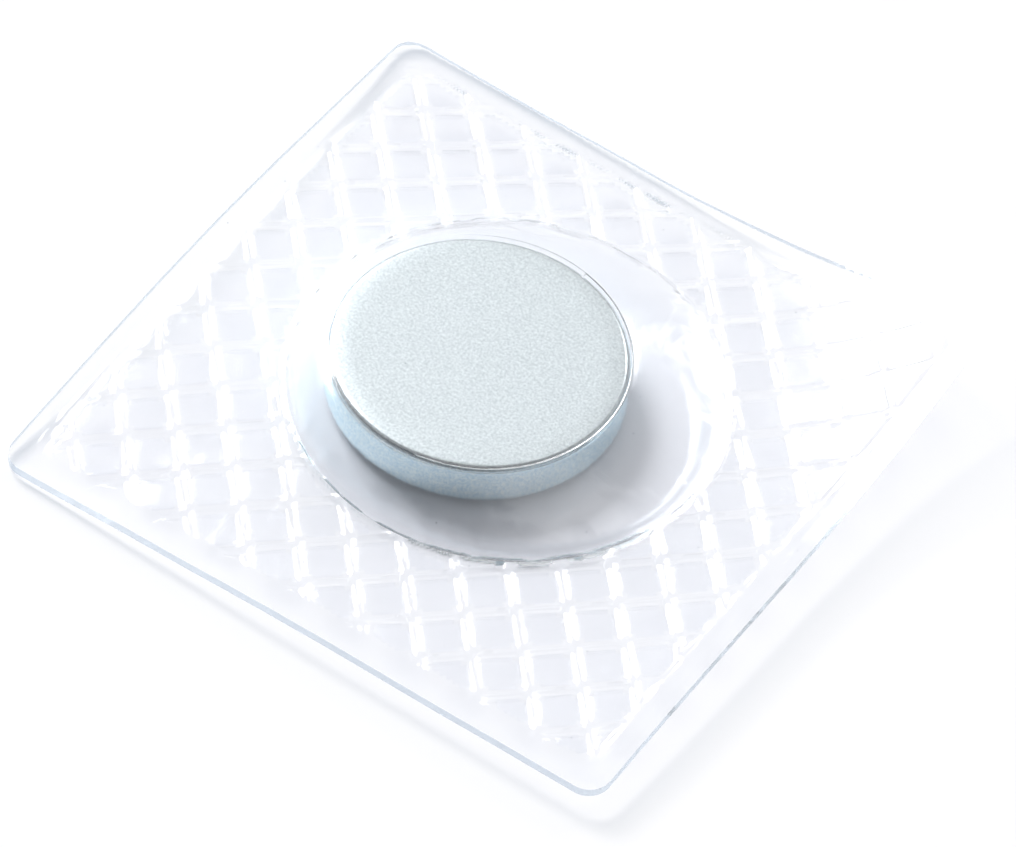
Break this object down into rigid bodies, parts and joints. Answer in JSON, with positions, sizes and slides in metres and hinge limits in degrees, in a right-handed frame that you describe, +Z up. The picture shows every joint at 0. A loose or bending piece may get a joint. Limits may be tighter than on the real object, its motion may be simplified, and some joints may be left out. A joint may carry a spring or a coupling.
{
  "type": "sew-in magnet",
  "caption": "Disc magnet loose in the round pocket of a square, waffle-embossed, clear PVC pouch, sewn behind fabric as a hidden closure.",
  "frame": {"origin": "middle of the pocket's flat underside, on the surface the pouch lies on", "axes": "+X and +Y along the pouch's straight edges, towards the corner that curls up; +Z up, out of the domed side"},
  "size_m": [0.035, 0.035, 0.0045],
  "materials": {
    "clear_pvc": "clear plasticised PVC film, glossy, with a waffle emboss over the weld",
    "zinc_plating": "blue-white zinc plating, satin, with a fine even grain"
  },
  "bodies": {
    "sleeve": {"bottom_film": "clear_pvc", "top_film": "clear_pvc"},
    "magnet": {"magnet_disc": "zinc_plating"}
  },
  "joints": [
    {"name": "magnet_slide", "type": "slide", "parent": "sleeve", "child": "magnet", "axis": [1, 0, 0], "range_m": [0, 0.0036]}
  ]
}
